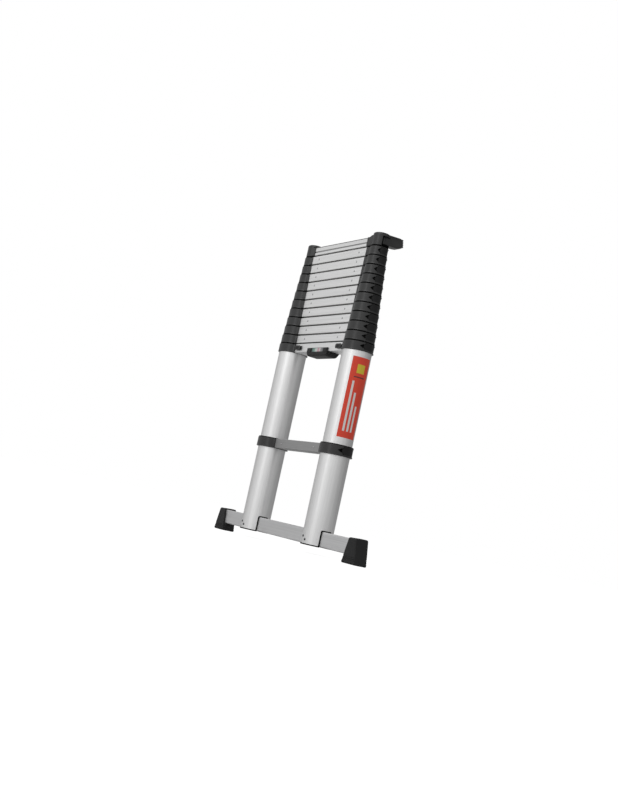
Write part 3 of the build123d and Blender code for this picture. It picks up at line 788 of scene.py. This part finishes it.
capLook = dict(height=39.6, edge=5.5, crown=0.7, lowerEdge=1.0, gapHeight=1.6, pocketFront=-10.7,
               pocketLow=1.6, pocketHigh=29.6, pocketFloor=14.2, pocketEnd=160, pocketShade=6.8, lowerShade=7,
               topShade=2.6, angleStep=1.5, wallRows=46, reach=38.0, shoulderTop=33.0, shoulderSteps=14,
               armHalf=15.0, armRound=2.2, panelInset=4.0, panelDepth=1.1, sharpAngle=32)
armCorners = ((4, 8.5), (46, 10.0), (61.5, 13.0), (66.6, 17.8), (61.2, 40.8), (55.0, 42.4), (30, 41.0),
              (4, 39.6))
armReach = (1, 12, 5, 2.5, 2.5, 5, 8, 1)


def capShell(sign, radius, bottom, height):
    # radius(angle, height) = cap radius with a large upper fillet; on the outer side, behind pocketFront,
    # the wall falls back to the flat side of the arm between pocketLow and pocketHigh
    look = capLook
    edge, foot = look["edge"], look["lowerEdge"]
    angle = np.arange(-180, 180, look["angleStep"])[:, None]
    turn = np.linspace(0, np.pi / 2, 9)[1:]
    rise = np.concatenate([[0, foot * 0.4, foot], np.linspace(foot, height - edge, look["wallRows"])[1:],
                           height - edge + edge * np.sin(turn), [height + look["crown"] * 0.6]])
    wall = np.concatenate([[radius - foot, radius - foot * 0.4, radius],
                           np.full(look["wallRows"] - 1, radius), radius - edge * (1 - np.cos(turn)),
                           [radius * 0.35]])
    swing = np.radians(angle)
    full = np.broadcast_to(wall[None, :], (len(angle), len(rise)))
    y = -full * np.cos(swing)
    flat = look["pocketFloor"] / np.maximum(np.sin(swing), 0.2)
    window = smoothStep((y - look["pocketFront"]) / 0.9) * smoothStep((rise - look["pocketLow"]) / 0.8) \
        * smoothStep((look["pocketHigh"] - rise) / 0.8) * (angle > 0) * (angle < look["pocketEnd"])
    full = full - window * np.maximum(full - np.minimum(full, flat), 0)
    rings = joined(sign * (axisX + full * np.sin(swing)), axisY - full * np.cos(swing), bottom + rise)
    # painted shade: the walls of the pocket, its floor near the front edge and low down, and bands along the
    # lower and upper rims take the near-black finish
    wallOfWindow = (window > 0.02) & (window < 0.9) & (y < 20)
    shade = (y < look["pocketFront"] + look["pocketShade"]) | (rise < look["pocketLow"] + look["lowerShade"])
    rims = (rise < look["gapHeight"]) | (rise > height - look["topShade"])
    marks = wallOfWindow | ((window > 0.02) & shade) | rims
    return ringSolid(rings.transpose(1, 0, 2), marks=marks.T)


def capShoulder(sign, bottom):
    # from inside the cap to the end of the tread; its top eases down from the cap to the tread
    look = capLook
    low, high = nodeBox("section_%02d_tread" % sectionCount)
    steps, reach = look["shoulderSteps"], look["reach"]
    offset = np.concatenate([np.linspace(6, reach - 3.2, steps), reach - np.array([2.9, 2.4, 0.9, 0.3, 0.0])])
    bead = np.concatenate([np.zeros(steps), [0.3, 0.6, 0.6, 0.4, 0.0]])
    depth = treadDepth + 2.4
    top = bottom + look["shoulderTop"] + (high[2] + 0.5 - bottom - look["shoulderTop"]) \
        * smoothStep((offset - 16) / (reach - 20))
    rows = []
    for out, proud, roof in zip(offset, bead, top):
        loop = roundedLoop(depth + 2 * proud, roof - low[2] + 0.4 + proud, 3.2)
        z = (roof + low[2] - 0.4 + proud) / 2 + loop[:, 1]
        rows.append(joined(sign * (axisX - out), treadMiddle + loop[:, 0], z))
    rings = np.array(rows)
    # painted shade: the top 1.5 mm of the shoulder takes the near-black finish
    return ringSolid(rings, marks=rings[..., 2] > rings[..., 2].max(axis=1, keepdims=True) - 1.5)


def besideStile(rows, sign, bottom):
    # rings of a part of the cap, moved to the stile's axis and the cap's lower edge
    return ringSolid(np.array(rows) * (sign, 1, 1) + (sign * axisX, axisY, bottom))


def wallArm(sign, bottom):
    # the arm's side outline carried across its width, with rounded rims and a sunk panel on each side
    look = capLook
    half, panel = look["armHalf"], look["panelInset"]
    across = half - np.array([look["panelDepth"], look["panelDepth"] * 0.8, 0.0, 0.3, 1.1, look["armRound"]])
    inset = np.array([panel + 0.7, panel, panel - 0.8, 0.9, 0.25, 0.0])
    across, inset = np.concatenate([-across, across[::-1]]), np.concatenate([inset, inset[::-1]])
    corners = np.array(armCorners, float)
    rows = [np.insert(softened(insetCorners(corners, distance), armReach), 0, x, axis=1)
            for x, distance in zip(across, inset)]
    return besideStile(rows, sign, bottom)


padLook = dict(low=(66.0, 17.4), high=(61.0, 41.0), teeth=4, base=2.4, tooth=2.9, into=2.5, edge=0.8)


def wallPad(sign, bottom):
    # rubber strip on the tip of the arm; out(t) = base + tooth * (0.5 - 0.5 cos(2 pi teeth t))^0.7
    look = padLook
    low, high = np.array(look["low"]), np.array(look["high"])
    run = (high - low) / np.linalg.norm(high - low)
    outwards = np.array([run[1], -run[0]])
    t = np.linspace(0, 1, 65)
    wave = (0.5 - 0.5 * np.cos(2 * np.pi * look["teeth"] * t)) ** 0.7
    half = capLook["armHalf"] - 0.3
    rows = []
    for x, less in ((-half, look["edge"]), (-half + 1, 0.0), (half - 1, 0.0), (half, look["edge"])):
        out = np.concatenate([look["base"] + look["tooth"] * wave - less, [-look["into"], -look["into"]]])
        place = np.concatenate([t, [1.0, 0.0]])[:, None]
        rows.append(np.insert(low + place * (high - low) + out[:, None] * outwards, 0, x, axis=1))
    return besideStile(rows, sign, bottom)


tubeLook = dict(wall=1.2, topIntoCap=1.2, bushHeight=8.0, bushProud=0.45, lip=0.3)


def makeTopTubes():
    # the last two tubes end under the caps' side pockets; a guide bush closes the foot of each
    look = tubeLook
    low, _ = nodeBox("section_%02d_tubes" % sectionCount)
    capLow, _ = nodeBox("top_cap_right")
    radius = baseRadius - collarLook["tubeGap"] * sectionCount
    inner, lip = radius - look["wall"], look["lip"]
    foot = low[2] + look["bushHeight"]
    top = capLow[2] + look["topIntoCap"]
    tube = np.array([(inner, foot), (radius - lip, foot), (radius, foot + lip), (radius, top - lip),
                     (radius - lip, top), (inner, top)])
    wide = radius + look["bushProud"]
    bush = np.array([(inner, low[2]), (wide - lip, low[2]), (wide, low[2] + lip), (wide, foot),
                     (inner, foot)])
    tubes = [spun(tube, (sign * axisX, axisY)) for sign in (-1, 1)]
    bushes = [spun(bush, (sign * axisX, axisY)) for sign in (-1, 1)]
    piece = makePiece("top_tubes", tubes, "tubeAluminium", bodyName(sectionCount))
    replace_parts(piece, "section_%02d_tubes" % sectionCount)
    makePiece("top_tube_bushes", bushes, "trimPlastic", bodyName(sectionCount))


def makeCaps():
    look = capLook
    body = bodyName(sectionCount)
    for name, sign in bothSides:
        low, high = nodeBox("top_cap_" + name)
        radius = (high[0] if sign > 0 else -low[0]) - axisX
        solids = [capShell(sign, radius, low[2], look["height"]), capShoulder(sign, low[2]),
                  wallArm(sign, low[2])]
        piece = makePiece("wall_arm_cap_" + name, solids, "collarPlastic", body,
                          look["sharpAngle"], ("shadeAndSeamBlack",))
        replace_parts(piece, "top_cap_" + name)
        pad = makePiece("wall_pad_grip_" + name, [wallPad(sign, low[2])], "footRubber", body)
        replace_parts(pad, "wall_pad_" + name)


makeTopTubes()
makeCaps()
print("ladder: caps made")


handleLook = dict(half=58.0, endLength=10.0, endDrop=0.46, lower=2.2, raised=3.4, rearIn=6.0, wall=3.1,
                  lip=11.4, labelCentre=4.5, labelHalf=32.0, labelHeight=11.0, labelDrop=1.2, earWidth=19.0,
                  earHeight=13.5, earProud=1.2, earIn=13.0, earDrop=0.8, earCorner=2.5)


def frontPlate(centreX, centreZ, width, height, corner, face, steps):
    # a rounded plate on a plane that faces the front, one ring for each (distance out, growth of half size)
    rows = []
    for out, growth in steps:
        loop = roundedLoop(width + 2 * growth, height + 2 * growth, max(corner + growth, 0.4))
        rows.append(joined(centreX + loop[:, 0], face - out, centreZ + loop[:, 1]))
    return ringSolid(np.array(rows))


def makeHandle():
    # the side outline (y, z) carried along X; towards the ends it is drawn up, height share
    # = 1 - endDrop * (1 - sqrt(1 - s^2)), which rounds the lower corners
    look = handleLook
    low, high = nodeBox("carry_handle")
    front, top, bottom = low[1], high[2] + look["raised"], low[2] - look["lower"]
    rear, rim, inside = high[1], top - look["lip"], front + look["wall"]
    corners = np.array([(front, top), (front, bottom), (rear - look["rearIn"], bottom), (rear, rim),
                        (inside, rim), (inside, top)], float)
    outline = softened(corners, (0.8, 7.0, 6.0, 1.5, 1.0, 0.8), 9)
    curve = look["endLength"] * (1 - np.cos(np.linspace(0.1, np.pi / 2, 16)))
    side = np.concatenate([-look["half"] + curve, [-look["half"] / 4]])
    x = np.concatenate([side, [0.0], -side[::-1]])
    s = np.clip((np.abs(x) - look["half"] + look["endLength"]) / look["endLength"], 0, 1)
    share = 1 - look["endDrop"] * (1 - np.sqrt(np.maximum(1 - s ** 2, 0.0)))
    height = top + (outline[None, :, 1] - top) * share[:, None]
    ear = look["earProud"]
    earSteps = ((-1.0, 0.0), (ear - 0.5, 0.0), (ear, -0.5), (ear, -2.0))
    solids = [ringSolid(joined(x[:, None], outline[:, 0], height))]
    for sign in (-1, 1):
        centreZ = top - look["earHeight"] / 2 - look["earDrop"]
        solids.append(frontPlate(sign * (look["half"] - look["earIn"]), centreZ, look["earWidth"],
                                 look["earHeight"], look["earCorner"], front, earSteps))
    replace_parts(makePiece("handle_shell", solids, "trimPlastic", "base"), "carry_handle")
    centreZ = top - look["labelHeight"] / 2 - look["labelDrop"]
    label = frontPlate(look["labelCentre"], centreZ, 2 * look["labelHalf"], look["labelHeight"], 1.0, front,
                       ((-0.4, 0.0), (0.25, 0.0)))
    makePiece("handle_label", [label], "handleLabel", "base")


buttonLook = dict(height=12.0, corner=4.2, proud=1.6, flange=1.1, ridges=4, ridgePitch=4.4, ridgeWidth=1.6,
                  ridgeHeight=7.5, ridgeProud=0.9)


def makeButtons():
    # a domed plate with a flange over each button's face, with upright grip ridges
    look = buttonLook
    proud, flange = look["proud"], look["flange"]
    plateSteps = ((-3.6, 0.0), (0.1, 0.0), (0.15, flange), (proud - 0.6, flange),
                  (proud - 0.15, flange - 0.5), (proud, flange - 1.4))
    ridgeSteps = ((-0.3, 0.0), (look["ridgeProud"] * 0.7, -0.05), (look["ridgeProud"], -0.35))
    for name, sign in bothSides:
        low, high = nodeBox("release_button_" + name)
        boltLow, boltHigh = nodeBox("lock_bolt_" + name)
        centreZ, centreX = (boltLow[2] + boltHigh[2]) / 2, (high[0] + low[0]) / 2
        front = low[1]
        solids = [frontPlate(centreX, centreZ, high[0] - low[0], look["height"], look["corner"], front,
                             plateSteps)]
        for index in range(look["ridges"]):
            x = centreX + (index - (look["ridges"] - 1) / 2) * look["ridgePitch"]
            solids.append(frontPlate(x, centreZ, look["ridgeWidth"], look["ridgeHeight"], 0.75, front - proud,
                                     ridgeSteps))
        makePiece("button_grip_" + name, solids, "collarPlastic", "release_" + name)


springLook = dict(wire=0.45, wireSides=8, turns=8.5, perTurn=20, slack=0.4)


def makeSprings():
    # behind each bolt a coil (x, (R + w cos a) cos t, (R + w cos a) sin t), its length x = x0 + run * share
    # + w sin a
    look = springLook
    for name, sign in bothSides:
        low, high = nodeBox("bolt_spring_" + name)
        centreY, centreZ = (low[1] + high[1]) / 2, (low[2] + high[2]) / 2
        coil = (high[2] - low[2]) / 2 - look["wire"]
        count = int(look["turns"] * look["perTurn"])
        t = np.linspace(0, 2 * np.pi * look["turns"], count)[:, None]
        share = np.linspace(0, 1, count)[:, None]
        a = np.linspace(0, 2 * np.pi, look["wireSides"], endpoint=False)[None, :]
        x = low[0] + look["wire"] + (high[0] - low[0] - 2 * look["wire"]) * share + look["wire"] * np.sin(a)
        away = coil + look["wire"] * np.cos(a)
        rings = joined(x, centreY + away * np.cos(t), centreZ + away * np.sin(t))
        piece = makePiece("coil_spring_" + name, [ringSolid(rings)], "zincSteel", "base")
        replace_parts(piece, "bolt_spring_" + name)
        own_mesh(piece)


def handleLabelFinish():
    # plain printed patches side by side, chosen by the place along the ladder's width
    material, tree, shader = newMaterial("handleLabel")
    place = addNode(tree, "ShaderNodeTexCoord").outputs["Object"]
    split = addNode(tree, "ShaderNodeSeparateXYZ")
    link(tree, place, split.inputs[0])
    along = mapRange(tree, split.outputs["X"], (handleLook["labelCentre"] - handleLook["labelHalf"]) / 1000,
                     (handleLook["labelCentre"] + handleLook["labelHalf"]) / 1000, 0.0, 1.0)
    ramp = addNode(tree, "ShaderNodeValToRGB")
    ramp.color_ramp.interpolation = "CONSTANT"
    patches = ((0.0, (0.10, 0.20, 0.17)), (0.12, (0.24, 0.40, 0.35)), (0.26, (0.66, 0.70, 0.67)),
               (0.48, (0.66, 0.34, 0.40)), (0.60, (0.74, 0.62, 0.64)), (0.74, (0.27, 0.28, 0.28)),
               (0.88, (0.13, 0.13, 0.135)))
    ramp.color_ramp.elements.remove(ramp.color_ramp.elements[1])
    for index, (start, colour) in enumerate(patches):
        stop = ramp.color_ramp.elements[0] if index == 0 else ramp.color_ramp.elements.new(start)
        stop.color = (*colour, 1)
    link(tree, along, ramp.inputs["Fac"])
    speck = noise(tree, place, 500.0)
    worn = mapRange(tree, speck, 0.3, 0.8, 0.0, 0.2)
    link(tree, mixColours(tree, worn, ramp.outputs["Color"], (0.4, 0.4, 0.4)), shader.inputs["Base Color"])
    link(tree, fromNoise(tree, speck, 0.32, 0.42), shader.inputs["Roughness"])
    return material


finishes["handleLabel"] = handleLabelFinish()
makeHandle()
makeButtons()
makeSprings()
print("ladder: handle, buttons and springs made")


stickerLook = dict(start=47.0, end=127.0, low=333.0, high=565.0, lift=0.35, into=0.3, across=41, levels=12,
                   red=(0.88, 0.066, 0.028), redWorn=(0.78, 0.055, 0.028), white=(0.86, 0.85, 0.83),
                   yellow=(0.80, 0.62, 0.04), ink=(0.03, 0.03, 0.03),
                   bars=((0.20, 0.30, 0.08, 0.70), (0.40, 0.50, 0.08, 0.56), (0.60, 0.70, 0.08, 0.40)),
                   block=(0.30, 0.70, 0.80, 0.91), rule=(0.22, 0.78, 0.745, 0.757))


def rectangleMask(tree, u, v, box):
    # 1 inside the rectangle u0..u1, v0..v1
    sides = []
    for value, low, high in ((u, box[0], box[1]), (v, box[2], box[3])):
        sides.append(mapRange(tree, value, low - 0.002, low + 0.002, 0.0, 1.0))
        sides.append(mapRange(tree, value, high - 0.002, high + 0.002, 1.0, 0.0))
    result = sides[0]
    for side in sides[1:]:
        node = addNode(tree, "ShaderNodeMath", operation="MULTIPLY")
        link(tree, result, node.inputs[0])
        link(tree, side, node.inputs[1])
        result = node.outputs[0]
    return result


def stickerFinish():
    # printed film: red ground, three plain white bars, a yellow block and a dark rule
    look = stickerLook
    material, tree, shader = newMaterial("stickerFilm")
    uv = addNode(tree, "ShaderNodeUVMap", uv_map="sticker")
    split = addNode(tree, "ShaderNodeSeparateXYZ")
    link(tree, uv.outputs[0], split.inputs[0])
    u, v = split.outputs["X"], split.outputs["Y"]
    place = addNode(tree, "ShaderNodeTexCoord").outputs["Object"]
    speck = noise(tree, place, 160.0)
    colour = mixColours(tree, fromNoise(tree, speck, 0.0, 0.12), look["red"], look["redWorn"])
    for box in look["bars"]:
        colour = mixColours(tree, rectangleMask(tree, u, v, box), colour, look["white"])
    colour = mixColours(tree, rectangleMask(tree, u, v, look["block"]), colour, look["yellow"])
    colour = mixColours(tree, rectangleMask(tree, u, v, look["rule"]), colour, look["ink"])
    link(tree, colour, shader.inputs["Base Color"])
    link(tree, fromNoise(tree, speck, 0.30, 0.38), shader.inputs["Roughness"])
    return material


def makeSticker():
    # a patch of the stile's surface: angle across, height up, closed behind by the stile's own radius
    look = stickerLook
    count = look["across"]
    angle = np.radians(np.linspace(look["start"], look["end"], count))
    rise = np.linspace(look["low"], look["high"], look["levels"])
    swing = np.concatenate([angle, angle[::-1]])
    radius = baseRadius + np.concatenate([np.full(count, look["lift"]), np.full(count, -look["into"])])
    x = axisX + radius * np.sin(swing)
    y = axisY - radius * np.cos(swing)
    solid = ringSolid(joined(x, y, rise[:, None]))
    piece = makePiece("stile_sticker", [solid], "stickerFilm", "base")
    u = (np.degrees(swing) - look["start"]) / (look["end"] - look["start"])
    v = (rise - look["low"]) / (look["high"] - look["low"])
    flat = np.stack(np.broadcast_arrays(u, v[:, None]), axis=-1).reshape(-1, 2)
    corners = np.zeros(len(piece.data.loops), np.int32)
    piece.data.loops.foreach_get("vertex_index", corners)
    piece.data.uv_layers.new(name="sticker").data.foreach_set("uv", flat[corners].astype(np.float32).ravel())


finishes["stickerFilm"] = stickerFinish()
makeSticker()
print("ladder: sticker made")
